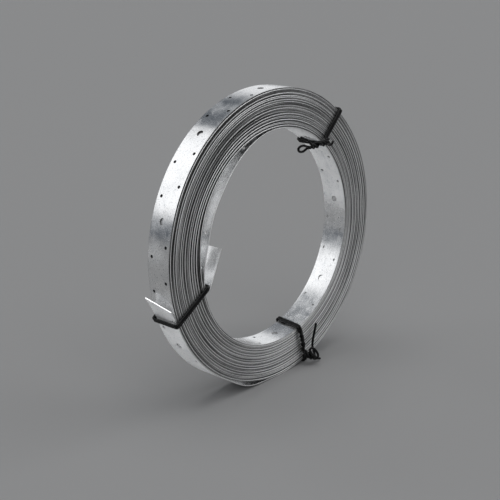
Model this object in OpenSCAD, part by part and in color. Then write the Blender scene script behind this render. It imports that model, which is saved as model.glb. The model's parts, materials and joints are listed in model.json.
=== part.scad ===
// A roll of perforated galvanised bracing strap, standing on its rim and held by three wire ties.
// The roll's axis lies along Y and Z is up. The origin is on the floor under the middle of the part's
// whole width along X, its loose outer end included, so the axis lies a little to the +X side of it.
// Clock angles are in degrees, seen from -Y: 0 is the top of the roll and 90 is its +X side.

/* [Strap] */
// Width of the strap
strap_w = 30; // [24:1:50]
// Thickness of the strap
strap_t = 1; // [0.6:0.1:1.6]
// Distance between two bolt holes along the strap
hole_pitch = 96; // [80:1:120]
// Diameter of the bolt holes on the centre line
bolt_hole_d = 7; // [5:0.5:8]
// Diameter of the nail holes in the two side rows
nail_hole_d = 3.4; // [2:0.2:4.5]
// Distance from a side row's centre line to the strap's edge
nail_edge = 5.6; // [4:0.2:8]

/* [Roll] */
// Diameter of the open core
core_d = 234; // [180:1:300]
// Number of turns in the roll
turns = 34; // [20:1:42]
// Air gap between two turns
turn_gap = 0.27; // [0.2:0.01:0.5]
// Depth to which the gaps are cut into the ends of the roll
gap_depth = 1.2; // [0.4:0.1:3]
// Most that a turn's edge stands out of line with the roll's end
edge_wander = 0.25; // [0:0.05:0.3]
// Clock angle of a bolt hole on the outermost turn
outer_phase = -36.4; // [-50:0.1:-20]
// Clock angle of a bolt hole on the innermost turn
inner_phase = 129.5; // [110:0.5:150]

/* [Slack turns] */
// How far the slack innermost turn stands off the core's wall
core_sag = 12; // [5:1:18]
// How far the slack turn still stands off the wall at its fold
fold_sag = 3.3; // [2:0.1:4.5]
// How far the slack stretch of the outermost turn stands off the roll
rim_sag = 3.6; // [1:0.2:4.5]

/* [Strap ends] */
// Length of the outer end that springs clear of the roll
tail_len = 30; // [20:1:40]
// How far the tip of the outer end stands off the roll
tail_lift = 7.5; // [3:0.5:12]
// How far the slanted cut of the outer end runs back along the strap
tail_slant = 12; // [0:1:16]
// Inside width of the fold in which the inner end turns back round its tie
fold_gap = 6; // [5:0.5:9]
// Length of the inner end that springs into the core
flap_len = 42; // [30:1:55]
// Angle between the inner end and the core's wall
flap_turn = 41; // [25:1:55]
// Distance from the inner end's tip to its nail hole
flap_hole_at = 22; // [8:1:26]

/* [Ties] */
// Diameter of the coated wire
wire_d = 2.8; // [2:0.1:3.6]
// Clearance between a wire and the strap
tie_gap = 0.3; // [0.15:0.05:0.5]
// Clearance between two wires that lie side by side
wrap_gap = 0.25; // [0.15:0.05:0.5]
// Length of one full twist of a tie's two ends
twist_pitch = 11; // [10:0.5:16]
// Length of the twisted part of the two lower ties
twist_len = 12; // [8:1:20]
// Length of the twisted part of the upper tie
long_twist_len = 28; // [12:1:34]

/* [Hidden] */
$fn = 96;

turn_pitch = strap_t + turn_gap;
core_r = core_d / 2;
roll_r = core_r + turns * turn_pitch - turn_gap;
hole_depth = strap_t + turn_gap / 2;
join = 0.4; // how deep a loose stretch runs into the turn that it grows out of

// Where each tie crosses the core's wall and the rim, as clock angles
lower_left = [-102.7, -108.4];
lower_right = [165.1, 165.6];
upper_right = [40, 41.5];
wire_off = tie_gap + wire_d / 2; // from the strap to the middle of a wire
wrap_pitch = wire_d + wrap_gap;
half_band = wrap_pitch + wire_d / 2; // half the width that a tie's wires take up

// Clock angles of the stretches that aren't tight
rim_slack_from = 184;
rim_slack_to = 213;
function degrees(length, r) = length / r * 180 / PI;
slack_from = 2;
slack_lowest = -56;
slack_rise = -76;
fold_at = lower_left[0] - degrees(wrap_pitch / 2, core_r);
tail_leave = lower_left[1] + degrees(half_band - wire_d, roll_r);
tail_root = tail_leave - degrees(half_band, roll_r);

// Place along the pattern as a share of hole_pitch, side row (-1 near, 0 centre, 1 far) and diameter
PATTERN = [
    [0, 0, bolt_hole_d],
    [0.25, -1, nail_hole_d],
    [0.375, 1, nail_hole_d],
    [0.625, -1, nail_hole_d],
    [0.75, 1, nail_hole_d]
];

steel = "#b4b8ba";
black = "#1c1c1e";

// ---- Curves in the plane of the roll, as [x, z] from the roll's axis ----

function clock(r, a) = [r * sin(a), r * cos(a)];
// Direction of travel at a clock angle, clockwise
function along(a) = [cos(a), -sin(a)];
// Smooth hump from 0 to 1 and back as u runs from 0 to 1
function hump(u) = pow(sin(180 * u), 2);
// Smooth rise from 0 to 1 between u = 0 and u = 1, flat at both ends and beyond
function ease(u) = let (v = max(0, min(1, u))) v * v * (3 - 2 * v);
function turned(v, a) = [v.x * cos(a) - v.y * sin(a), v.x * sin(a) + v.y * cos(a)];
function bezier(a, b, c, d, steps) = [
    for (i = [0:steps])
        let (u = i / steps, w = 1 - u)
        w * w * w * a + 3 * w * w * u * b + 3 * w * u * u * c + u * u * u * d
];
function unit(v) = v / norm(v);
function step_dir(p, i) = unit(p[min(i + 1, len(p) - 1)] - p[max(i - 1, 0)]);
function offset_path(p, d) = [for (i = [0:len(p) - 1]) p[i] + d * turned(step_dir(p, i), 90)];
function reversed(p) = [for (i = [len(p) - 1:-1:0]) p[i]];
function strip_outline(p) = concat(offset_path(p, strap_t / 2), reversed(offset_path(p, -strap_t / 2)));

// Radius of the slack innermost turn's middle line: it grows out of the tight turns, sinks into the
// core and rises again to its fold
function slack_r(a) =
    core_r + strap_t / 2 + join
    - (core_sag + join) * ease((slack_from - a) / (slack_from - slack_lowest))
    + (core_sag - fold_sag) * ease((slack_rise - a) / (slack_rise - fold_at));

// Middle line of the strap's inner end: the slack turn, the fold round the tie's wires, and the end
// that springs into the core
fold_r = (fold_gap + strap_t) / 2;
fold_start = clock(slack_r(fold_at), fold_at);
fold_heading = -along(fold_at);
fold_center = fold_start + fold_r * turned(fold_heading, 90);
flap_dir = turned(fold_heading, 180 - flap_turn);
flap_root = fold_center + fold_r * turned(flap_dir, -90);
flap_tip = flap_root + flap_len * flap_dir;
inner_path = concat(
    [for (i = [0:54]) let (a = slack_from + (fold_at - slack_from) * i / 55) clock(slack_r(a), a)],
    [for (i = [0:13]) fold_center + fold_r * turned(fold_heading, -90 + (180 - flap_turn) * i / 14)],
    [for (i = [0:3]) flap_root + flap_len * i / 3 * flap_dir]
);

// Middle line of the slack stretch of the outermost turn
rim_slack_path = [
    for (i = [0:24])
        let (u = i / 24, a = rim_slack_to + (rim_slack_from - rim_slack_to) * u)
        clock(roll_r - strap_t / 2 - join + (rim_sag + join) * hump(u), a)
];

// Middle line of the outer end, which leaves the rim under its tie
tail_start = clock(roll_r - strap_t / 2 - join, tail_root);
tail_end = tail_root + degrees(tail_len, roll_r);
tail_tip = clock(roll_r + tail_lift - strap_t / 2, tail_end);
roll_x = -(tail_tip.x + roll_r) / 2; // the roll's axis along X, with the outer end's reach taken in
tail_dir = turned(along(tail_end), 22);
tail_path = bezier(
    tail_start,
    tail_start + tail_len / 3 * along(tail_root),
    tail_tip - tail_len / 3 * tail_dir,
    tail_tip,
    12
);

// ---- The wound strap ----

// Turns a child drawn in the roll's plane into a strip across the roll's width
module across(w) rotate([90, 0, 0]) linear_extrude(w, center = true) children();

function edge_shift(k) = edge_wander * sin(137.5 * k);
// One end of the roll from the core to the rim: each turn's edge, and the gap beside it
function end_line(side) = [
    for (k = [0:turns - 1])
        let (r = core_r + k * turn_pitch)
        let (h = side * strap_w / 2 + edge_shift(k), g = side * (strap_w / 2 - gap_depth))
        each k < turns - 1
            ? [[r, h], [r + strap_t, h], [r + strap_t, g], [r + turn_pitch, g]]
            : [[r, h], [r + strap_t, h]]
];

module wound_turns() rotate([90, 0, 0]) rotate_extrude() polygon(concat(end_line(-1), reversed(end_line(1))));

// The sector that the slack innermost turn has left
module slack_room() intersection() {
    rotate([90, 0, 0]) cylinder(h = 2 * strap_w, r = core_r + turn_pitch + 2 * join, center = true);
    across(3 * strap_w) polygon([
        [0, 0],
        for (u = [0:0.25:1]) clock(2 * core_r, slack_from + (fold_at - slack_from) * u)
    ]);
}

// The sector that the slack stretch of the outermost turn has left
module rim_room()
    across(2 * strap_w)
    polygon(concat(
        [for (a = [rim_slack_to:-1:rim_slack_from]) clock(roll_r - turn_pitch, a)],
        [for (a = [rim_slack_from:rim_slack_to]) clock(roll_r + strap_t, a)]
    ));

module strip(path) across(strap_w) polygon(strip_outline(path));

// One perforation of the outermost turn, from outside the roll down to the next turn
module rim_hole(a, row, d)
    rotate([0, a, 0]) translate([0, row * (strap_w / 2 - nail_edge), roll_r - hole_depth])
    cylinder(h = hole_depth + rim_sag + 1, d = d);

// One perforation of the innermost turn, from inside the core down to the next turn
module core_hole(a, row, d) {
    from = min(core_r, slack_r(a < slack_from ? a : slack_from) - strap_t / 2) - 1.5;
    rotate([0, a, 0]) translate([0, row * (strap_w / 2 - nail_edge), from])
        cylinder(h = core_r + hole_depth - from, d = d);
}

rim_step = degrees(hole_pitch, roll_r);
core_step = degrees(hole_pitch, core_r);

// The outermost turn's holes run from the tip of the outer end right round to its root
module rim_holes()
    for (i = [-12:12], h = PATTERN)
        let (a = outer_phase + (i - h[0]) * rim_step)
        if (a > tail_end + 2 && a < 360 + tail_root - 2) rim_hole(a, h[1], h[2]);

// The innermost turn's holes run from the fold right round to the turn's own start
module core_holes()
    for (i = [-9:9], h = PATTERN)
        let (a = inner_phase + (i - h[0]) * core_step)
        if (a > fold_at + degrees(h[2] / 2 + wire_d, core_r) && a < 358 + fold_at) core_hole(a, h[1], h[2]);

// The nail hole in the inner end
module flap_hole() {
    middle = flap_tip - flap_hole_at * flap_dir;
    translate([middle.x, nail_edge - strap_w / 2, middle.y])
        rotate([0, atan2(-flap_dir.y, flap_dir.x), 0])
        cylinder(h = 3 * strap_t, d = nail_hole_d, center = true);
}

// The slanted cut across the tip of the outer end
module tail_cut() {
    angle = atan2(tail_slant, strap_w);
    translate([tail_tip.x, strap_w / 2, tail_tip.y])
        rotate([0, atan2(tail_dir.x, tail_dir.y), 0])
        rotate([angle, 0, 0])
        translate([-strap_w, -2 * strap_w, 0])
        cube([2 * strap_w, 3 * strap_w, strap_w]);
}

module strap_coil() color(steel) translate([roll_x, 0, roll_r]) difference() {
    union() {
        difference() {
            wound_turns();
            slack_room();
            rim_room();
        }
        strip(inner_path);
        strip(rim_slack_path);
        difference() {
            strip(tail_path);
            tail_cut();
        }
    }
    rim_holes();
    core_holes();
    flap_hole();
}

// ---- The ties ----

// Rings of a round wire along a path, each ring carried on from the last without twist
function tangent(p, i) = unit(p[min(i + 1, len(p) - 1)] - p[max(i - 1, 0)]);
function carried(n, t) = unit(n - (n * t) * t);
function normals(p) = [
    for (
        i = 0, n = carried([0.31, 0.52, 0.8], tangent(p, 0));
        i < len(p);
        i = i + 1, n = i < len(p) ? carried(n, tangent(p, i)) : n
    ) n
];
module wire(p, sides = 10) {
    n = normals(p);
    rings = [
        for (i = [0:len(p) - 1], k = [0:sides - 1])
            let (t = tangent(p, i), a = 360 * k / sides)
            p[i] + wire_d / 2 * (cos(a) * n[i] + sin(a) * cross(t, n[i]))
    ];
    last = (len(p) - 1) * sides;
    walls = [
        for (i = [0:len(p) - 2], k = [0:sides - 1])
            let (a = i * sides + k, b = i * sides + (k + 1) % sides)
            each [[a, a + sides, b + sides], [a, b + sides, b]]
    ];
    near_cap = [for (k = [0:sides - 1]) k];
    far_cap = [for (k = [sides - 1:-1:0]) last + k];
    polyhedron(rings, concat(walls, [near_cap], [far_cap]));
}

// One wrap round the roll's section, whose length is l: from start on the near side, over the core's
// wall, the far side and the rim, and back to start. Points are [u, y], and u runs from core to rim.
half_w = strap_w / 2 + edge_wander;
function corner(u, y, from) = [
    for (i = [0:4])
        let (a = from - 22.5 * i)
        [u, y] + wire_off * [cos(a), sin(a)]
];
function wrap(l, start) = concat(
    [[start, -half_w - wire_off]],
    corner(0, -half_w, 270),
    [[-wire_off, 0]],
    corner(0, half_w, 180),
    [[l / 2, half_w + wire_off]],
    corner(l, half_w, 90),
    [[l + wire_off, 0]],
    corner(l, -half_w, 0)
);
// Two wraps side by side, whose ends stop short of the knot. Points are [u, y, s], and s runs along
// the strap.
function wraps(l, start) =
    let (one = wrap(l, start), n = len(one))
    [
        for (i = [0:2 * n])
            let (q = one[i % n], short = i == 0 ? -wire_d : i == 2 * n ? wire_d : 0)
            [q.x + short, q.y - abs(short) / 3, wrap_pitch * (i / n - 1)]
    ];
// One wire of the twisted pair, which starts at foot and runs along dir for a length. The two wires
// start side by side, as far apart as the wraps, and close up as they begin to twist.
function twisted(foot, dir, length, phase) =
    let (a = carried([0, 0, 1], dir), b = cross(dir, a), closed = wire_d / 2 + wrap_gap / 2, ramp = 2 * wire_d)
    [
        for (i = [0:round(length / 1.2)])
            let (s = 1.2 * i, twist = s < ramp ? s * s / ramp / 2 : s - ramp / 2)
            let (turn = phase + 360 * twist / twist_pitch)
            let (r = wrap_pitch + (closed - wrap_pitch) * ease(s / ramp))
            foot + s * dir + r * (cos(turn) * a + sin(turn) * b)
    ];
function smooth(p) = [
    for (i = [0:len(p) - 2], j = [0:3])
        let (a = p[max(i - 1, 0)], b = p[i], c = p[i + 1], d = p[min(i + 2, len(p) - 1)], t = j / 4)
        0.5 * (2 * b + (c - a) * t + (2 * a - 5 * b + 4 * c - d) * t * t + (3 * b - 3 * c + d - a) * t * t * t)
];
// A wire's loose end: it goes on straight from the path p, then through points told from p's last one
function loose_end(p, points) =
    let (n = len(p), last = p[n - 1], way = unit(last - p[n - 2]))
    let (q = smooth(concat([p[n - 2], last, last + 2.5 * way], [for (v = points) last + v])))
    [for (i = [5:len(q) - 1]) q[i]];
// The way from a to b that leaves along da and arrives along db
function link(a, da, b, db) =
    let (q = bezier(a, a + 0.6 * wire_d * da, b - wire_d * db, b, 8)) [for (i = [1:7]) q[i]];

// A wire wrapped twice round the roll at the clock angles [core, rim], with its ends twisted together.
// held is how far the loose strap ends under it stand off the wall and the rim, start is the knot's
// place from core to rim, side is -1 for the near end and 1 for the far end, dir is the way that the
// twist points, length is the twist's own, and tails are the two ends' points from the twist's own end.
// A tie that crosses the turns at a slant stands off by slant.
module tie(angles, held, start, side, dir, length, tails) {
    core_point = clock(core_r, angles[0]);
    rim_point = clock(roll_r, angles[1]);
    heading = unit(rim_point - core_point);
    slant = half_band * abs(cross(heading, unit(rim_point)));
    inner = core_point - (slant + held[0]) * heading;
    outer = rim_point + (slant + held[1]) * heading;
    l = norm(outer - inner);
    loop = wraps(l, start * l);
    foot = [start * l, -half_w - wire_off - 2.2 * wire_d, 0];
    pair = [for (phase = [180, 0]) twisted(foot, unit(dir), length, phase)];
    path = concat(
        reversed(loose_end(pair[0], tails[0])),
        reversed(pair[0]),
        link(pair[0][0], unit(pair[0][0] - pair[0][1]), loop[0], unit([-3, 1, 0])),
        loop,
        link(loop[len(loop) - 1], unit([-3, -1, 0]), pair[1][0], unit(pair[1][1] - pair[1][0])),
        pair[1],
        loose_end(pair[1], tails[1])
    );
    color(black)
        translate([roll_x + inner.x, 0, roll_r + inner.y])
        rotate([0, atan2(-heading.y, heading.x), 0])
        scale([1, -side, 1])
        wire([for (q = path) [q.x, q.y, q.z]]);
}

slack_sag = core_r + strap_t / 2 - slack_r(lower_left[0] + degrees(half_band + wire_d, core_r));
module tie_lower_left() tie(
    lower_left, [slack_sag, strap_t], 0.45, 1, [-0.5, -0.35, 0.75], twist_len,
    [[[-3, 1, 8], [-4, 2, 13]], [[1, -2, 8], [5, -1, 12]]]
);
module tie_lower_right() tie(
    lower_right, [0, 0], 0.78, -1, [0.7, -0.4, 0.6], twist_len,
    [[[4, 0, 5], [8, 0, 11]], [[0, 2, 7], [-9, 4, 11], [-32, 5, 19]]]
);
module tie_upper_right() tie(
    upper_right, [0, 0], 0.12, -1, [-0.72, -0.1, 0.69], long_twist_len,
    [[[-1, -1, 9], [-2, -1, 15], [-5, -1, 23]],
        [[-9, 1, 2], [-15, 2, 8], [-15, 0, 14.5], [-10.5, -2, 15], [-7, -2.5, 9.5]]]
);

strap_coil();
tie_lower_left();
tie_lower_right();
tie_upper_right();
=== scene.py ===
# %% [markdown]
# # A roll of perforated bracing strap
#
# Bracing strap is thin galvanised steel band with rows of holes for nails and bolts. Builders pull it
# off a roll. The roll here stands on its rim, and three black wire ties keep it from springing open.
#
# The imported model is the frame: it says where everything is. Each new piece below is a surface worked
# out with numpy, in metres, and it takes the place of one plain solid of that model.

import json

import bpy
import numpy as np
from mathutils import Matrix, Vector


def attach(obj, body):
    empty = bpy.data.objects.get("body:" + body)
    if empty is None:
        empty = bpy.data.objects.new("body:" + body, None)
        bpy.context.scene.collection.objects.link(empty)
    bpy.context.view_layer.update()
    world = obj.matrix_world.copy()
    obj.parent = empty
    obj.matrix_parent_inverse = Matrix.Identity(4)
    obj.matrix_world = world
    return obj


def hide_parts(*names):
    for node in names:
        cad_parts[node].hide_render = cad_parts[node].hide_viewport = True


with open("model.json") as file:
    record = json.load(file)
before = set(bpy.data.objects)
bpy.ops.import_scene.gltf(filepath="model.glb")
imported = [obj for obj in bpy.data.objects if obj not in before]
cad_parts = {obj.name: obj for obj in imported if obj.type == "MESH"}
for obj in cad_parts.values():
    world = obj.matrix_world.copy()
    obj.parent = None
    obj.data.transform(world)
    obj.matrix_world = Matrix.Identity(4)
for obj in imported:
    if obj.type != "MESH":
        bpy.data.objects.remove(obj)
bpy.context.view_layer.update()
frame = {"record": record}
mount = {m["name"]: np.array(m["pos_m"]) for m in frame["record"]["mounts"]}
roll_centre = mount["core"]
roll_r = roll_centre[2]

# %% [markdown]
# ## Sizes
#
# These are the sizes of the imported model, in metres. Clock angles are measured from the top of the
# roll, and grow towards +X.

# %% Sizes of the strap, the roll and the ties
mm = 0.001
strap_w, strap_t = 30 * mm, 1 * mm
hole_pitch = 96 * mm
bolt_hole_r, nail_hole_r = 3.5 * mm, 1.7 * mm
nail_row = strap_w / 2 - 5.6 * mm
core_r = 117 * mm
turns = 34
wire_r = 1.35 * mm
whole = 2 * np.pi
rad = np.radians
print("strap mm", strap_w / mm, "x", strap_t / mm, "in", turns, "turns, core mm", 2 * core_r / mm)


def clock(r, a):
    """Points [x, z] at radius r and clock angle a, seen from the roll's axis."""
    return np.stack([r * np.sin(a), r * np.cos(a)], -1)


def along(a):
    """Direction of clockwise travel at clock angle a."""
    return np.stack([np.cos(a), -np.sin(a)], -1)


def turned(v, a):
    """Vectors [x, z] turned by the angle a from +X towards +Z."""
    c, s = np.cos(a), np.sin(a)
    return np.stack([c * v[..., 0] - s * v[..., 1], s * v[..., 0] + c * v[..., 1]], -1)


def hump(u):
    """A smooth hump: 0 at u = 0 and 1, and 1 in the middle."""
    return np.sin(np.pi * np.clip(u, 0, 1)) ** 2


def share(x, start, end):
    """How far x has got from start to end."""
    return (x - start) / (end - start)


def ease(u):
    """A smooth rise from 0 at u = 0 to 1 at u = 1, flat beyond both."""
    u = np.clip(u, 0, 1)
    return u * u * (3 - 2 * u)


def bezier(a, b, c, d, u):
    """The cubic curve from a to d that leaves towards b and arrives from c."""
    w, u = (1 - u)[:, None], u[:, None]
    return w**3 * a + 3 * w**2 * u * b + 3 * w * u**2 * c + u**3 * d


# %% [markdown]
# ## The line that the strap follows
#
# A real roll is one long strap, so this one is too. Separate rings would be quicker, but their edges
# would never show the spiral, and there would be no ends. The middle line starts at the outer end,
# which springs off the rim, and winds inwards. The innermost turn is slack over the upper left. At the
# lower left tie it folds back round the tie's wires, and its last part springs into the core.
#
# The wound turns don't lie evenly. Most nearly touch, and every few turns a wider gap stands open. So
# each turn is let inwards by a little less than its own air gap, and that slack is used up at a few
# places, the slips, where the line falls inwards within a fraction of a turn.

# %% The wound part
# Clock angles: where the outer end leaves the rim, where the slack turn starts, and the fold
root, slack_from, fold_at = rad([-109.5, 2, -103.4])
wound_end = (turns - 1) * whole + (root - slack_from) % whole
foot_turn = ((root + np.pi) % whole) / whole
pitch = (roll_r - core_r - strap_t) / (wound_end / whole - foot_turn)
start_r = roll_r - strap_t / 2 + pitch * foot_turn
# Each slip: after how many turns it starts, and the air that it uses up
slips = np.array([1.2, 2.3, 3.3, 4.5, 5.6, 6.9, 9.2, 12.1, 15.7, 19.6, 23.4, 27.8, 31.6])
slip_size = mm * np.array([0.45, 0.6, 0.35, 0.55, 0.4, 0.5, 0.45, 0.5, 0.45, 0.45, 0.5, 0.45, 0.4])
slip_length = 0.45
foot_slack = 3.6 * mm
steps_per_turn = 720


def looseness(angle):
    """How loosely the turns lie: 0.4, and up to 1 on the upper left, where the roll was pulled about.

    The rise is a bell: 0.6 times e to the power -d^2 / 0.9, with d the angle from -0.9 radians."""
    return 0.4 + 0.6 * np.exp(-(((angle + 0.9 + np.pi) % whole - np.pi) ** 2) / 0.9)


def wound_radius(theta):
    """A spiral: the radius falls by one pitch a turn, less the slips' share, plus the slips so far.

    The slack stretch at the foot stands off the roll, and the innermost turns are drawn inwards on the
    left, behind the slack turn."""
    k, angle = theta / whole, (root - theta + np.pi) % whole - np.pi
    fallen = sum(size * ease((k - at) / slip_length) for at, size in zip(slips, slip_size))
    slip = slip_size.sum() * k / (wound_end / whole) - fallen
    bulge = foot_slack * hump(share(theta, root + rad(147), root + rad(176)))
    behind_slack = hump(share(angle, rad(-132), rad(-56)))
    drawn = mm * behind_slack * (ease((k - 26) / 5) + 1.5 * ease((k - 30.2) / 0.5))
    return start_r - pitch * k + looseness(angle) * slip + bulge - drawn


theta = np.linspace(0, wound_end, turns * steps_per_turn)
radius = wound_radius(theta)
wound = clock(radius, root - theta)
outside = theta[theta < wound_end - whole]
air = (wound_radius(outside) - wound_radius(outside + whole) - strap_t) / mm
print("turns", wound_end / whole, "pitch mm", pitch / mm)
print("air gaps mm", air.min(), "to", air[steps_per_turn:].max(), "under the first turn")

# %% The outer end, the slack turn, the fold and the inner end
tail_length, tail_lift, tail_pull = 30 * mm, 7 * mm, 10 * mm
tail_end = root + tail_length / roll_r
tail_tip = clock(roll_r + tail_lift, tail_end)
tail_dir = turned(along(tail_end), rad(22))
u = np.linspace(0, 1, 120)
tail = bezier(tail_tip, tail_tip - tail_pull * tail_dir, wound[0] + tail_pull * along(root), wound[0], u)

slack_drop, slack_return = 11.8 * mm, 8.5 * mm
angle = np.linspace(slack_from, fold_at, 900)
sink = slack_drop * ease(share(angle, slack_from, rad(-56)))
rise = slack_return * ease(share(angle, rad(-76), fold_at))
slack = clock(core_r + strap_t / 2 - (sink - rise), angle)

fold_r, fold_turn, flap_length, flap_curl = 3.5 * mm, rad(139), 42 * mm, 0.03
ahead = -along(fold_at)
fold_centre = slack[-1] + fold_r * turned(ahead, rad(90))
fold = fold_centre + fold_r * turned(ahead, np.linspace(0, fold_turn, 60) - rad(90))
flap_dir = turned(ahead, fold_turn)
u = np.linspace(0, 1, 60)[:, None]
flap = fold[-1] + flap_length * (u * flap_dir + flap_curl * u**2 * turned(flap_dir, rad(90)))

parts = [tail, wound[1:], slack[1:], fold[1:], flap[1:]]
line = np.concatenate(parts)
line_s = np.r_[0, np.cumsum(np.linalg.norm(np.diff(line, axis=0), axis=1))]
ends = line_s[np.cumsum([len(p) for p in parts]) - 1]
tangent = np.gradient(line, line_s, axis=0)
tangent /= np.linalg.norm(tangent, axis=1)[:, None]
slack_end = wound_end + slack_from - fold_at
# The angle wound so far at each point of the line; the two free ends count a little further
tail_theta, flap_theta = -0.19, 0.4
line_theta = np.concatenate([
    np.linspace(tail_theta, 0, len(tail)),
    theta[1:],
    wound_end + slack_from - angle[1:],
    np.linspace(slack_end, slack_end + flap_theta, len(fold) + len(flap) - 1)[1:],
])
print("strap length m", line_s[-1])


def on_line(s, values):
    """Values along the strap at the distances s from its outer end."""
    return np.stack([np.interp(s, line_s, values[:, i]) for i in range(values.shape[1])], -1)


# The waves of the edge: height in millimetres, waves in a turn, and phase
edge_waves = ((0.35, 0.37, 0), (0.4, 0.61, 2), (0.2, 1.23, 1), (0.12, 2.41, 4))
tie_at = rad(-106)


def edge_wander(s):
    """Sideways shift of the strap: waves whose lengths don't fit a turn, so that neighbours differ.

    The lower left tie pulls the loose turns level."""
    t = np.interp(s, line_s, line_theta)
    waves = mm * sum(height * np.sin(f * t + phase) for height, f, phase in edge_waves)
    held = np.exp(-(((root - t - tie_at + np.pi) % whole - np.pi) ** 2) / 0.03)
    return waves * looseness(root - t) * (1 - 0.65 * held)


# %% [markdown]
# ## Holes
#
# The punch repeats one pattern: a bolt hole on the middle line, then nail holes at a quarter, three
# eighths, five eighths and three quarters of the pitch, in one side row and then the other. Cutting
# each hole with a boolean would be slow and leave thin slivers. So the mesh is a grid of 3 mm cells.
# Round each hole the cells are left out, and a fan of triangles joins the gap's square edge to the
# hole's circle. Holes are made where they show, and the turns between have plain long rows.

# %% Rows of the grid, and where the holes lie
# Clock angles of a bolt hole on the rim and of one on the core's wall
rim_bolt, wall_bolt = rad([-36.4, 129.5])
first_bolt = np.interp(root - rim_bolt + whole, line_theta, line_s)
last_bolt = np.interp(root - wall_bolt + turns * whole, line_theta, line_s)
count = round((last_bolt - first_bolt) / hole_pitch)
real_pitch = (last_bolt - first_bolt) / count
cells_per_pitch, hidden_rows, fold_rows = 32, 3840, 20
cell = real_pitch / cells_per_pitch
print("hole pitch mm", real_pitch / mm)

outer_stop = np.interp(whole + 0.1, line_theta, line_s)
inner_start = np.interp(wound_end - 0.75 * whole - 0.2, line_theta, line_s)
begin = first_bolt - cell * np.floor(first_bolt / cell)
grid_s = begin + cell * np.arange(int((line_s[-1] - begin) / cell))
outer_s = grid_s[grid_s < outer_stop]
inner_s = grid_s[(grid_s > inner_start) & (grid_s < ends[2])]
flap_s = grid_s[grid_s > ends[3]]
hidden_s = np.linspace(outer_s[-1], inner_s[0], hidden_rows)[1:-1]
fold_s = np.linspace(inner_s[-1], flap_s[0], fold_rows)[1:-1]
row_s = np.concatenate([[0], outer_s[outer_s > 1 * mm], hidden_s, inner_s, fold_s, flap_s, [line_s[-1]]])
plain = (row_s > outer_s[-1]) & (row_s < inner_s[0])
# Columns across the strap and half the thickness at each: the outer two on a side round the long edge
column_y = mm * np.array([-15, -14.91, -14.7, -12.4, -9.4, -6.4, -3, 0, 3, 6.4, 9.4, 12.4, 14.7, 14.91, 15])
half_t = mm * np.array([0.2, 0.41] + [0.5] * 11 + [0.41, 0.2])
flat_from, flat_to = 2, 12
rim_columns = np.array([0, 1, 12, 13])
print("rows", len(row_s), "plain rows", plain.sum())

# %% Fans round the holes
def border(reach, first, last):
    """The grid's nodes round a hole, anticlockwise, as offsets in rows and numbers of columns."""
    rows, cols = np.arange(-reach, reach), np.arange(first, last)
    return np.concatenate([
        np.stack([rows, np.full(len(rows), first)], -1),
        np.stack([np.full(len(cols), reach), cols], -1),
        np.stack([-rows, np.full(len(rows), last)], -1),
        np.stack([np.full(len(cols), -reach), last + first - cols], -1),
    ])


def fans(rows, nodes, radius, middle_y, base):
    """Circles of three points to each border edge, and the faces between each border and its circle.

    A circle's point is (s + radius cos a, y + radius sin a), with a from the border's first corner."""
    n = len(nodes)
    a = rad(-135) + whole * np.arange(3 * n) / (3 * n)
    s = row_s[rows][:, None] + radius * np.cos(a)
    y = np.broadcast_to(middle_y + radius * np.sin(a), s.shape)
    grid = (rows[:, None] + nodes[:, 0]) * len(column_y) + nodes[:, 1]
    ring = base + np.arange(len(rows))[:, None] * 3 * n + np.arange(3 * n)
    b0, b1 = grid, np.roll(grid, -1, 1)
    c = [np.roll(ring, -i, 1)[:, ::3] for i in range(4)]
    triangles = np.concatenate([np.stack([b0, c[1], c[0]], -1), np.stack([b1, c[3], c[2]], -1)], 1)
    quads = np.stack([b0, b1, c[2], c[1]], -1)
    return s.ravel(), y.ravel(), triangles.reshape(-1, 3), quads.reshape(-1, 4)


pattern_numbers = np.arange(-400, 400)
end_margin = 12 * mm
# Each hole of the pattern: its share of the pitch, its first and last column, its rows to either side,
# its radius, and its place across the strap
hole_kinds = [
    (0, 5, 9, 2, bolt_hole_r, 0),
    (0.25, 3, 5, 1, nail_hole_r, -nail_row),
    (0.375, 9, 11, 1, nail_hole_r, nail_row),
    (0.625, 3, 5, 1, nail_hole_r, -nail_row),
    (0.75, 9, 11, 1, nail_hole_r, nail_row),
]
open_cells = np.ones((len(row_s) - 1, len(column_y) - 1), bool)
all_s = [np.repeat(row_s, len(column_y))]
all_y = [np.tile(column_y, len(row_s))]
triangles, quads, vertex_count = [], [], len(all_s[0])
hole_count = 0
for part, first, last, reach, radius, middle_y in hole_kinds:
    at = first_bolt + real_pitch * (pattern_numbers + part)
    room = (reach + 0.5) * cell
    shown = (at > end_margin) & (at < outer_s[-1] - room)
    shown |= (at > inner_s[0] + room) & (at < inner_s[-1] - room)
    shown |= (at > flap_s[0] + room) & (at < flap_s[-1] - room)
    rows = np.abs(row_s[None, :] - at[shown][:, None]).argmin(1)
    s, y, t, q = fans(rows, border(reach, first, last), radius, middle_y, vertex_count)
    all_s.append(s)
    all_y.append(y)
    triangles.append(t)
    quads.append(q)
    vertex_count += len(s)
    hole_count += len(rows)
    cut = (rows[:, None] + np.arange(-reach, reach))[:, :, None], np.arange(first, last)[None, None, :]
    open_cells[cut] = False
print("holes modelled", hole_count)

# %% Cells of the grid
node = np.arange(len(row_s) * len(column_y)).reshape(len(row_s), -1)
fine_rows = ~plain[:-1] & ~plain[1:]


def cells(i, j):
    """The grid's cells at rows i and columns j."""
    return np.stack([node[i, j], node[i + 1, j], node[i + 1, j + 1], node[i, j + 1]], -1).reshape(-1, 4)


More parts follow.
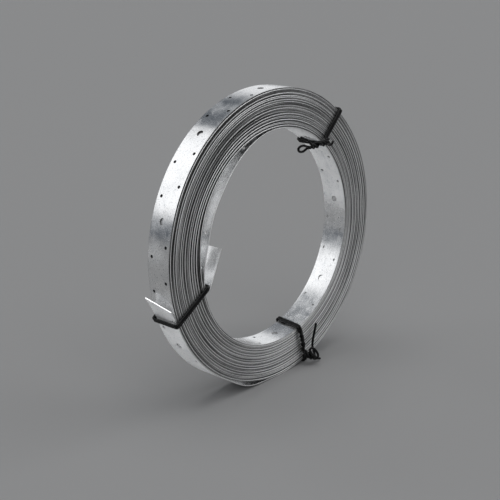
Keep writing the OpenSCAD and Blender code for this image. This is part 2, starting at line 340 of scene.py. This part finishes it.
i, j = np.nonzero(open_cells[:, flat_from:flat_to] & fine_rows[:, None])
quads.append(cells(i, j + flat_from))
left, right = node[:, flat_from], node[:, flat_to]
i = np.nonzero(plain[:-1] & plain[1:])[0]
quads.append(np.stack([left[i], left[i + 1], right[i + 1], right[i]], -1))
into = np.nonzero(~plain[:-1] & plain[1:])[0][0]
out_of = np.nonzero(plain[:-1] & ~plain[1:])[0][0]
# One face of many corners joins a fine row to a plain one, at each end of the hidden turns
joints = np.stack([
    np.r_[left[into], left[into + 1], right[into + 1], node[into, flat_to:flat_from:-1]],
    np.r_[left[out_of], node[out_of + 1, flat_from : flat_to + 1], right[out_of]],
])
rims = cells(np.arange(len(row_s) - 1)[:, None], rim_columns)
polygons = [np.concatenate(triangles), np.concatenate(quads), joints, rims]
strap_s, strap_y = np.concatenate(all_s), np.concatenate(all_y)
thickness = np.full(len(strap_s), strap_t)
thickness[: node.size] = 2 * np.tile(half_t, len(row_s))
print("cells", sum(len(p) for p in polygons))


# %% [markdown]
# ## From a flat pattern to a strap with thickness
#
# Every grid point (s, y) goes to the line's point at s, moved by y across the roll. The two faces of
# the strap lie half a thickness to either side, and a wall joins them along every open border: the two
# long edges, the cut ends and each hole. The outer columns of the grid are thinner, which rounds the
# long edges, as slitting does.

# %% Helpers that make a mesh
def thicken(points, normals, polygons, thickness):
    """Two copies of a sheet, half a thickness to each side, and walls along its open borders.

    A border edge is one whose reverse is in no face."""
    n, shift = len(points), thickness[:, None] / 2 * normals
    both = np.concatenate([points + shift, points - shift])
    directed = np.concatenate([np.stack([p, np.roll(p, -1, 1)], -1).reshape(-1, 2) for p in polygons])
    key, reverse = directed[:, 0] * n + directed[:, 1], directed[:, 1] * n + directed[:, 0]
    a, b = directed[~np.isin(key, reverse)].T
    walls = np.stack([b, a, a + n, b + n], -1)
    return both, [*polygons, *(p[:, ::-1] + n for p in polygons), walls]


def new_piece(name, points, faces, slots, uv=None, **values):
    """A mesh object from arrays of faces. Points that no face uses are left out.

    uv is the place on the flat strap, and the other values become attributes of the points."""
    used = np.unique(np.concatenate([f.ravel() for f in faces]))
    number = np.full(len(points), -1)
    number[used] = np.arange(len(used))
    corners = np.concatenate([number[f].ravel() for f in faces])
    sizes = np.concatenate([np.full(len(f), f.shape[1]) for f in faces])
    mesh = bpy.data.meshes.new(name)
    mesh.vertices.add(len(used))
    mesh.vertices.foreach_set("co", points[used].astype(np.float32).ravel())
    mesh.loops.add(len(corners))
    mesh.loops.foreach_set("vertex_index", corners.astype(np.int32))
    mesh.polygons.add(len(sizes))
    mesh.polygons.foreach_set("loop_start", np.r_[0, np.cumsum(sizes)[:-1]].astype(np.int32))
    mesh.polygons.foreach_set("loop_total", sizes.astype(np.int32))
    mesh.polygons.foreach_set("material_index", np.repeat(slots, [len(f) for f in faces]).astype(np.int32))
    mesh.polygons.foreach_set("use_smooth", np.ones(len(sizes), bool))
    if uv is not None:
        layer = mesh.uv_layers.new(name="strap")
        layer.data.foreach_set("uv", uv[used][corners].astype(np.float32).ravel())
    for key, value in values.items():
        mesh.attributes.new(key, "FLOAT", "POINT").data.foreach_set("value", value[used].astype(np.float32))
    mesh.update()
    mesh.validate()
    piece = bpy.data.objects.new(name, mesh)
    bpy.context.scene.collection.objects.link(piece)
    print(name, len(used), "points", len(sizes), "faces")
    return piece


# %% The strap
# The outer end is cut at a slant, which dies away along the strap
cut_slant, slant_reach = 12 * mm, 18 * mm
slant = cut_slant * (0.5 - strap_y / strap_w) * np.clip(1 - strap_s / slant_reach, 0, 1)
s = strap_s + slant
at, heading = on_line(s, line), on_line(s, tangent)
heading /= np.linalg.norm(heading, axis=1)[:, None]
points = np.stack([at[:, 0], strap_y + edge_wander(s), at[:, 1]], -1) + roll_centre
normals = np.stack([-heading[:, 1], np.zeros(len(s)), heading[:, 0]], -1)
both, faces = thicken(points, normals, polygons, thickness)
uv = np.stack([s, strap_y], -1)
turn = np.tile(np.interp(s, line_s, line_theta) / whole, 2)
# Material 0 is zinc. Material 1, bare steel, is on the rims of both faces and on the walls
slots = [0, 0, 0, 1] * 2 + [1]
loose = looseness(root - whole * turn)
strap = new_piece("perforated_strap", both, faces, slots, np.tile(uv, (2, 1)), turn=turn, loose=loose)
strap.data.set_sharp_from_angle(angle=rad(50))
strap.modifiers.new("even shading", "WEIGHTED_NORMAL").keep_sharp = True
strap.data.calc_loop_triangles()
print("strap triangles", len(strap.data.loop_triangles))
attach(strap, "root")
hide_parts("strap_coil")


# %% [markdown]
# ## The ties
#
# Each tie is one long wire, folded in the middle and laid double round the roll. Its two halves cross
# over at the knot, where the four strands are twisted into a rope. The fold sticks out of the rope as a
# ring, and the two cut ends stick out beside it. A curve object with a round bevel would do too, but
# it turns its rings where the path is steep, so each tube is laid out here with frames that don't
# twist. A tie's path has coordinates of its own, in millimetres: u from the core to the rim, y across
# the roll, and v along the strap.

# %% Paths of the ties
# The wire's middle from the strap, and half of the turns' width with their wander
wire_off, half_w = 1.65, 15.4
# Half the spacing of the two strands, the radius of their bends, and the rope's radius and pitch
pair, bend_r, rope_r, rope_pitch = 1.45, 2.0, 2.45, 20
arc_points, path_step, tube_sides, end_taper = 8, 0.7, 14, 0.8


def arc(u, y, radius, start, end):
    """Points on a circle about (u, y), from the angle start to the angle end."""
    a = rad(np.linspace(start, end, arc_points))
    return np.stack([u + radius * np.cos(a), y + radius * np.sin(a)], -1)


def through(p, m=6):
    """The smooth curve through the points p: each stretch is a cubic set by the four points round it."""
    q = np.concatenate([p[:1], p, p[-1:]])
    a, b, c, d = (q[i : len(q) - 3 + i, None] for i in range(4))
    t = (np.arange(m) / m)[:, None]
    x = 2 * b + (c - a) * t + (2 * a - 5 * b + 4 * c - d) * t**2 + (3 * b - 3 * c + d - a) * t**3
    return np.concatenate([x.reshape(-1, p.shape[1]) / 2, p[-1:]])


def even(p, step):
    """The curve p again, with points an even step apart, and its kinks rounded by a running mean."""
    s = np.r_[0, np.cumsum(np.linalg.norm(np.diff(p, axis=0), axis=1))]
    t = np.arange(0, s[-1], step)
    q = np.stack([np.interp(t, s, p[:, i]) for i in range(3)], -1)
    padded = np.concatenate([2 * q[:1] - q[2:0:-1], q, 2 * q[-1:] - q[-2:-4:-1]])
    return sum(w * padded[i : i + len(q)] for i, w in enumerate((0.1, 0.2, 0.4, 0.2, 0.1)))


def wrap(length, start, v, lean, coils):
    """One strand round the roll's section, from the knot's core side over the wall to its rim side.

    Between the knot and the wall the two strands wind round each other: each is a helix of radius v.
    raised keeps the helix clear of the turns."""
    low = -half_w - wire_off
    t = np.linspace(0.04, 0.96, 26)
    raised = 1.4 * min(coils, 1) * ease(4 * t) * ease(4 - 4 * t)
    turn = whole * coils * ease(t)
    beside = v * np.concatenate([np.ones(arc_points), np.cos(turn), np.ones(5 * arc_points)])
    p = np.concatenate([
        arc(start - pair - bend_r, low - bend_r, bend_r, 0, 90),
        np.stack([(start - pair - bend_r) * (1 - t), low - raised + v * np.sin(turn)], -1),
        arc(0, -half_w, wire_off, 270, 180),
        arc(0, half_w, wire_off, 180, 90),
        arc(length, half_w, wire_off, 90, 0),
        arc(length, -half_w, wire_off, 0, -90),
        arc(start + pair + bend_r, low - bend_r, bend_r, 90, 180),
    ])
    return np.column_stack([p, beside + lean * np.clip(0.5 + p[:, 1] / half_w / 2, 0, 1)])


def tie_path(length, start, coils, lean, lift, bend, tip, ring, first_end, last_end, at_foot):
    """One wire from cut end to cut end. Its rope follows a cubic from the knot to tip, and each strand is
    a helix about it. The last end leaves the rope at its foot or at its tip."""
    foot = np.array([start, -half_w - wire_off - bend_r, 0.0])
    axis = bezier(foot, foot - [0, lift, 0], np.array(bend), np.array(tip), np.linspace(0, 1, 30))
    s = np.r_[0, np.cumsum(np.linalg.norm(np.diff(axis, axis=0), axis=1))]
    ahead = np.gradient(axis, axis=0)
    ahead /= np.linalg.norm(ahead, axis=1)[:, None]
    a, b = frames(ahead, np.array([1.0, 0, 0]))

    def strand(phase):
        turn = (rad(phase) + whole * s / rope_pitch)[:, None]
        return axis + rope_r * (np.cos(turn) * a + np.sin(turn) * b)

    one, two, three, four = (strand(phase) for phase in (135, 225, 315, 45))
    # Each free part is a smooth curve that starts on its strand; those first points are left out
    shared = 7
    first = through(np.vstack([one[-2:], first_end]))[shared:]
    loop = through(np.vstack([four[-2:], ring, three[-1:], three[-2:-1]]))[shared:-shared]
    last_from = [two[:1] + [0, 2, 0], two[:1]] if at_foot else [two[-2:]]
    last = through(np.vstack([*last_from, last_end]))[shared:]
    return np.concatenate([
        first[::-1], one[::-1], wrap(length, start, pair, lean, coils), four, loop, three[::-1],
        wrap(length, start, -pair, lean, coils)[::-1], two[:1] if at_foot else two, last,
    ])


def frames(ahead, first):
    """Two directions across each point of a path, carried along it with no twist.

    Any direction across will do at first. The angle by which each differs from its carried neighbour is
    then summed along the path and taken away."""
    n = np.cross(ahead, np.eye(3)[np.abs(ahead).argmin(1)])
    n /= np.linalg.norm(n, axis=1)[:, None]
    b = np.cross(ahead, n)
    carried = n[:-1] - (n[:-1] * ahead[1:]).sum(1)[:, None] * ahead[1:]
    twist = np.arctan2((carried * b[1:]).sum(1), (carried * n[1:]).sum(1))
    turn = np.arctan2(first @ b[0], first @ n[0]) + np.r_[0, np.cumsum(twist)]
    turn = turn[:, None]
    return np.cos(turn) * n + np.sin(turn) * b, np.cos(turn) * b - np.sin(turn) * n


def tie(name, angles, held, side, **shape):
    """A tie at the clock angles of the wall and the rim, as a round tube along its path.

    held is how far, in millimetres, the tie stands off the wall and the rim. side is -1 where the knot
    is on the near end of the roll, and 1 where it is on the far end."""
    wall, rim = clock(core_r, rad(angles[0])), clock(roll_r, rad(angles[1]))
    out = (rim - wall) / np.linalg.norm(rim - wall)
    slant = (mm * pair + wire_r) * abs(np.cross(out, rim / roll_r))
    inner, outer = wall - (slant + mm * held[0]) * out, rim + (slant + mm * held[1]) * out
    path = even(tie_path(np.linalg.norm(outer - inner) / mm, **shape), path_step) * mm
    flat = inner + path[:, :1] * out + path[:, 2:] * np.array([-out[1], out[0]])
    path = np.stack([flat[:, 0], -side * path[:, 1], flat[:, 1]], -1) + roll_centre
    ahead = np.gradient(path, axis=0)
    ahead /= np.linalg.norm(ahead, axis=1)[:, None]
    a, b = frames(ahead, np.array([0.0, 0, 1]))
    sides, n = tube_sides, len(path)
    angle = whole * np.arange(sides) / sides
    radius = wire_r * np.r_[end_taper, np.ones(n - 2), end_taper][:, None, None]
    ring = np.cos(angle)[:, None] * a[:, None] + np.sin(angle)[:, None] * b[:, None]
    points = (path[:, None] + radius * ring).reshape(-1, 3)
    here = np.arange((n - 1) * sides).reshape(-1, sides)
    beside = np.roll(here, -1, 1)
    walls = np.stack([here, beside, beside + sides, here + sides], -1).reshape(-1, 4)
    caps = np.stack([np.arange(sides)[::-1], np.arange(sides) + (n - 1) * sides])
    piece = new_piece("wire_" + name, points, [walls, caps], [0, 0])
    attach(piece, "root")
    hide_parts(name)
    return piece


# %% The three ties
ties = [
    tie(
        "tie_lower_left", (-103.4, -108.4), held=(3.9, 1), side=1,
        start=20, coils=0, lean=0, lift=4, bend=(17, -25, 2), tip=(9, -25, 5), at_foot=False,
        ring=[
            (5, -27.5, 3.5), (0.5, -27.5, 4), (-3.5, -26, 3), (-4.5, -24, 0),
            (-2.5, -22.5, -2.5), (1.5, -22, -1.5), (5, -22.5, 1.5),
        ],
        first_end=[(8.5, -28, 8.5), (9, -28, 14)],
        last_end=[(6.5, -22, 8.5), (4, -20.5, 13)],
    ),
    tie(
        "tie_lower_right", (165.1, 165.6), held=(0, 0), side=-1,
        start=34, coils=2, lean=3.4, lift=4, bend=(37, -26, -1), tip=(41, -26, 6), at_foot=False,
        ring=[
            (43, -29, 7.5), (38, -31, 8), (31, -30.5, 6), (25.5, -29.5, 2.5),
            (26, -28.5, -1), (31, -29, -0.5), (36.5, -29, 3),
        ],
        first_end=[(45, -25.5, 9), (49, -26.5, 15)],
        last_end=[(42, -23, 11), (37, -20.8, 12.5), (30, -19.8, 13.5), (19, -19.8, 19.5), (8.5, -20, 25.5)],
    ),
    tie(
        "tie_upper_right", (40, 41.5), held=(0, 0), side=-1,
        start=4, coils=0, lean=0, lift=9, bend=(-9, -25, 12), tip=(-18, -23.5, 21), at_foot=True,
        ring=[
            (-21.5, -22.5, 24.5), (-24.5, -23.5, 31), (-28.5, -24, 36), (-32.5, -23, 36.5),
            (-32.5, -21.5, 31), (-28, -20.5, 25), (-22, -20.5, 22),
        ],
        first_end=[(-19, -27, 25), (-19.5, -26.5, 34), (-22.5, -25, 44)],
        last_end=[(1, -22, -3.6), (3.2, -24, -5.6), (8, -23.5, -6)],
    ),
]


# %% [markdown]
# ## Shader maths
#
# A finish is a recipe of many nodes, which are slow to wire by hand. One small class wraps a socket, so
# that a pattern is written as a sum in Python, and each operator adds its own node.

# %% The wrapper
class Sock:
    """A node's output that can be added and multiplied as if it were a number."""

    def __init__(self, tree, socket):
        self.tree, self.socket = tree, socket

    def node(self, kind, settings=None, output=0, **inputs):
        """A new node of this tree. settings are set first, then inputs get their values or links.

        An input goes by its name, or by i and its number."""
        n = self.tree.nodes.new(kind)
        for key, value in (settings or {}).items():
            setattr(n, key, value)
        for key, value in inputs.items():
            socket = n.inputs[int(key[1:]) if key[1:].isdigit() else key.replace("_", " ")]
            if isinstance(value, Sock):
                self.tree.links.new(value.socket, socket)
            else:
                socket.default_value = value
        return Sock(self.tree, n.outputs[output])

    def output(self, which):
        """Another output of the same node."""
        return Sock(self.tree, self.socket.node.outputs[which])

    def maths(self, operation, *values):
        """A Math node on these values, or on this socket where none are given."""
        inputs = {f"i{k}": v for k, v in enumerate(values or [self])}
        return self.node("ShaderNodeMath", {"operation": operation}, **inputs)

    def __add__(self, other):
        return self.maths("ADD", self, other)

    def __sub__(self, other):
        return self.maths("SUBTRACT", self, other)

    def __rsub__(self, other):
        return self.maths("SUBTRACT", other, self)

    def __mul__(self, other):
        return self.maths("MULTIPLY", self, other)

    __radd__, __rmul__ = __add__, __mul__

    def step(self, low, high):
        """A smooth step from 0 at low to 1 at high."""
        smooth = {"interpolation_type": "SMOOTHSTEP"}
        return self.node("ShaderNodeMapRange", smooth, i0=self, i1=low, i2=high, i3=0.0, i4=1.0)

    def scaled(self, x, y, z):
        """This vector with each part multiplied by a number of its own."""
        return self.node("ShaderNodeVectorMath", {"operation": "MULTIPLY"}, i0=self, i1=(x, y, z))

    def noise(self, scale, detail=2.0, roughness=0.5):
        """Cloudy noise from 0 to 1 at this place."""
        return self.node("ShaderNodeTexNoise", Vector=self, Scale=scale, Detail=detail, Roughness=roughness)

    def mix(self, a, b):
        """The colour a where this is 0, and b where it is 1."""
        return self.node("ShaderNodeMix", {"data_type": "RGBA"}, output=2, i0=self, i6=a, i7=b)


def grey(v, tint=(1, 1, 1)):
    """A grey of brightness v, as a colour, with an optional tint."""
    return (v * tint[0], v * tint[1], v * tint[2], 1)


def new_material(name, **fixed):
    """A material, the wrapper on its tree, and its Principled shader with fixed values set."""
    material = bpy.data.materials.new(name)
    material.use_nodes = True
    tree = material.node_tree
    shader = tree.nodes["Principled BSDF"]
    for key, value in fixed.items():
        shader.inputs[key.replace("_", " ")].default_value = value
    return material, Sock(tree, None), shader


def feed(shader, name, value):
    """Let a pattern drive one socket of the shader."""
    value.tree.links.new(value.socket, shader.inputs[name])


def attribute(tool, name):
    """The number that the mesh keeps for each point under this name."""
    return tool.node("ShaderNodeAttribute", {"attribute_name": name}, output=2)


def add_material(piece, material):
    """Give the piece its next material."""
    piece.data.materials.append(material)
    print(piece.name, "gets", material.name, "with", len(material.node_tree.nodes), "nodes")


# %% [markdown]
# ## Galvanised steel
#
# Zinc freezes on the strap in flat crystals, the spangle, each with its own brightness. Over it lie
# cloudy smears, specks, scuffs and streaks that run along the strap. Weather has dulled the outer end
# and a stretch of the core's wall. A picture of metal would repeat, so all of it is noise on the flat
# strap's own coordinates, in metres, and it bends round the roll with the strap.
#
# Of the turns in the middle little ever shows. Their margins are painted dark, as painted shade for the
# shade in the nail holes and in the gaps between the edges. Under the bolt holes, in the middle of the
# strap, the zinc keeps its own colour.

# %% Zinc
zinc, tool, shader = new_material("galvanised_steel")
uv_map = tool.node("ShaderNodeUVMap", {"uv_map": "strap"})
from_end = uv_map.node("ShaderNodeSeparateXYZ", Vector=uv_map)
across = from_end.output("Y")
crystals = uv_map.node("ShaderNodeTexVoronoi", {"feature": "F1"}, output=2, Vector=uv_map, Scale=130.0)
crystal = uv_map.node("ShaderNodeTexWhiteNoise", {"noise_dimensions": "3D"}, Vector=crystals)
clouds = uv_map.noise(70.0, 5.0, 0.65)
blotches = uv_map.noise(30.0, 3.0, 0.6).step(0.4, 0.65)
streaks = uv_map.scaled(0.12, 1, 1).noise(300.0, 3.0, 0.6)
specks = uv_map.noise(620.0, 2.0, 0.6).step(0.6, 0.68)
scuffs = uv_map.noise(240.0, 3.0, 0.7).step(0.6, 0.72)
wall_from, wall_to = (np.interp(wound_end - rad(back), line_theta, line_s) for back in (92, 6))
weathered_end = 1 - from_end.step(0.09, 0.2)
weathered_wall = from_end.step(wall_from, wall_from + 0.03) * (1 - from_end.step(wall_to, wall_to + 0.02))
dull = blotches * 0.2 + (weathered_end + weathered_wall) * 0.5
tone = 0.3 + clouds * 0.5 + crystal * 0.14 + streaks * 0.26 - specks * 0.3 - scuffs * 0.32
clean = tone.step(0.1, 0.85).mix(grey(0.42, (0.92, 1, 1.08)), grey(0.93))
# Painted shade: the margins of the covered turns get a dark grey, so the nail holes and the gaps between
# the edges look shaded
turns_in = attribute(tool, "turn")
inner_turns = wound_end / whole - 1.7
shaded_turns = turns_in.step(1.08, 1.14) * (1 - turns_in.step(inner_turns, inner_turns + 0.1))
shaded_margin = (across * across).step(25 * mm**2, 50 * mm**2)
feed(shader, "Base Color", (shaded_turns * shaded_margin).mix(clean, grey(0.1)))
feed(shader, "Metallic", 1 - dull - scuffs * 0.15)
feed(shader, "Roughness", 0.13 + dull * 0.3 + crystal * 0.07 + streaks * 0.06 + specks * 0.2)
relief = uv_map.noise(40.0, 3.0, 0.5) + uv_map.noise(420.0, 2.0) * 0.2
relief = relief + crystal * 0.06 + specks * 0.04 + scuffs * 0.15 + streaks * 0.2
feed(shader, "Normal", uv_map.node("ShaderNodeBump", Height=relief, Strength=0.6, Distance=0.25 * mm))
add_material(strap, zinc)

# %% [markdown]
# ## Sheared edges
#
# The strap was slit from a wide sheet, so its long edges are bare steel with fine tears. Turn by turn
# the edge's colour is painted lighter or darker, as painted highlight and painted shade for the light
# that each edge would catch as it leans a little in or out. A wave along the turns' count makes them
# alternate, strongest where the turns lie loose, and noise lets the wave drift.

# %% Sheared edges
edge, tool, shader = new_material("sheared_edge")
uv_map = tool.node("ShaderNodeUVMap", {"uv_map": "strap"})
along_strap = uv_map.scaled(1, 0, 1)
phase = attribute(tool, "turn") * 2.55 + along_strap.noise(0.6, 1.0) * 5
# Painted highlight and painted shade: turn by turn the edge's colour swings between near black and pale
# grey
painted_light_wave = (phase.maths("SINE") * 0.5 + 0.5).step(0.15, 0.85) - 0.5
swing = attribute(tool, "loose").step(0.35, 1.0)
stretches = along_strap.noise(12.0, 2.0).step(0.3, 0.7)
tears = along_strap.noise(800.0, 3.0, 0.6)
tone = 0.3 + swing * 0.02 + painted_light_wave * (0.4 + swing * 0.42) + stretches * 0.25 + tears * 0.2
feed(shader, "Base Color", tone.step(0.05, 0.95).mix(grey(0.02), grey(0.9)))
feed(shader, "Metallic", 0.75 + painted_light_wave * 0.3)
feed(shader, "Roughness", 0.3 + tears * 0.2)
feed(shader, "Normal", uv_map.node("ShaderNodeBump", Height=tears, Strength=0.4, Distance=0.15 * mm))
add_material(strap, edge)

# %% [markdown]
# ## Coated wire
#
# Tie wire of this kind has a skin of black plastic. One plain black would look like a hole in the
# render, so the gloss is sharper in some patches than in others, and the skin is faintly uneven.

# %% Coated wire
coating, tool, shader = new_material("coated_wire", Specular_IOR_Level=0.16)
place = tool.node("ShaderNodeTexCoord", output=3)
skin = place.noise(900.0, 2.0)
patches = place.noise(250.0, 3.0)
feed(shader, "Base Color", patches.step(0.4, 0.7).mix(grey(0.002), grey(0.006)))
feed(shader, "Roughness", 0.06 + patches * 0.2)
feed(shader, "Normal", place.node("ShaderNodeBump", Height=skin, Strength=0.3, Distance=0.2 * mm))
for piece in ties:
    add_material(piece, coating)

# %% [markdown]
# ## Floor, light and camera
#
# Metal shows what stands round it, so the light is a room of soft panels in the world's own shader,
# with darker gaps between them. Lamps would light the strap too, but they wouldn't show in it as broad
# bands. Each panel is a patch of directions with soft borders. The floor lights the roll from below as
# a pale floor does, and is seen as a mid grey, both directly and in the metal.

# %% Floor
bpy.ops.mesh.primitive_plane_add(size=60)
floor = bpy.context.object
floor.name = "floor"
paint, tool, shader = new_material("floor_paint", Roughness=0.9, Specular_IOR_Level=0.1)
rays = tool.node("ShaderNodeLightPath")
kinds = ("Camera", "Glossy", "Transmission")
by_camera, by_gloss, by_glass = (rays.output(f"Is {kind} Ray") for kind in kinds)
seen = rays.maths("MAXIMUM", rays.maths("MAXIMUM", by_camera, by_gloss), by_glass)
feed(shader, "Base Color", seen.mix(grey(0.66), grey(0.223)))
add_material(floor, paint)

# %% World
world = bpy.data.worlds.new("soft room")
bpy.context.scene.world = world
world.use_nodes = True
tool = Sock(world.node_tree, None)
direction = tool.node("ShaderNodeTexCoord", output=0)
x = direction.node("ShaderNodeSeparateXYZ", Vector=direction)
y, z = x.output("Y"), x.output("Z")
azimuth = x.maths("ARCTAN2", x, y * -1)


def panel(centre, width, low, high, soft):
    """A patch of directions, in degrees: azimuth within half a width of centre, height from low to high.

    It is 1 inside and 0 outside, with a smooth step over soft to either side of each border."""
    turn = azimuth - rad(centre)
    off_centre = turn.maths("WRAP", turn, -np.pi, np.pi).maths("ABSOLUTE")
    across = 1 - off_centre.step(rad(width / 2 - soft), rad(width / 2 + soft))
    above = z.step(np.sin(rad(low - soft)), np.sin(rad(low + soft)))
    below = 1 - z.step(np.sin(rad(high - soft)), np.sin(rad(min(high + soft, 90))))
    return across * above * below


# Each panel's centre, width, low and high edge, softness, and how much light it adds or takes
panels = [
    (-156, 61, 13, 50, 3, 0.95),
    (131, 18, 2, 26, 4, 0.62),
    (-35, 70, 12, 60, 6, 1.1),
    (50, 50, 15, 60, 6, 1.7),
    (-133, 44, -9, 8, 3, -0.13),
    (160, 34, 22, 62, 4, -0.1),
]
light = 0.22 + z.step(0.86, 0.95) * 2.7
for *place, strength in panels:
    light = light + panel(*place) * strength
# Near the horizon the room is as grey as the floor, so that they meet without a line
light = light + (1 - z.step(0.05, 0.18)) * 0.03
colour = light.node("ShaderNodeCombineColor", i0=light - 0.012, i1=light, i2=light + 0.016)
world.node_tree.links.new(colour.socket, world.node_tree.nodes["Background"].inputs["Color"])
print("panels", len(panels), "world nodes", len(world.node_tree.nodes))

# %% Camera
camera = bpy.data.objects.new("camera", bpy.data.cameras.new("camera"))
bpy.context.scene.collection.objects.link(camera)
camera.data.lens, camera.data.sensor_width = 74.44, 36
view, up = Vector((0.69407, 0.64597, -0.31779)), Vector((0.25311, 0.19430, 0.94773))
side = view.cross(up)
camera_at = roll_centre + np.array([-0.7886, -0.7077, 0.3388])
camera.matrix_world = Matrix((
    (side.x, up.x, -view.x, camera_at[0]),
    (side.y, up.y, -view.y, camera_at[1]),
    (side.z, up.z, -view.z, camera_at[2]),
    (0, 0, 0, 1),
))
camera.data.clip_start, camera.data.clip_end = 0.05, 100
bpy.context.scene.camera = camera
bpy.context.scene.view_settings.view_transform = "Standard"
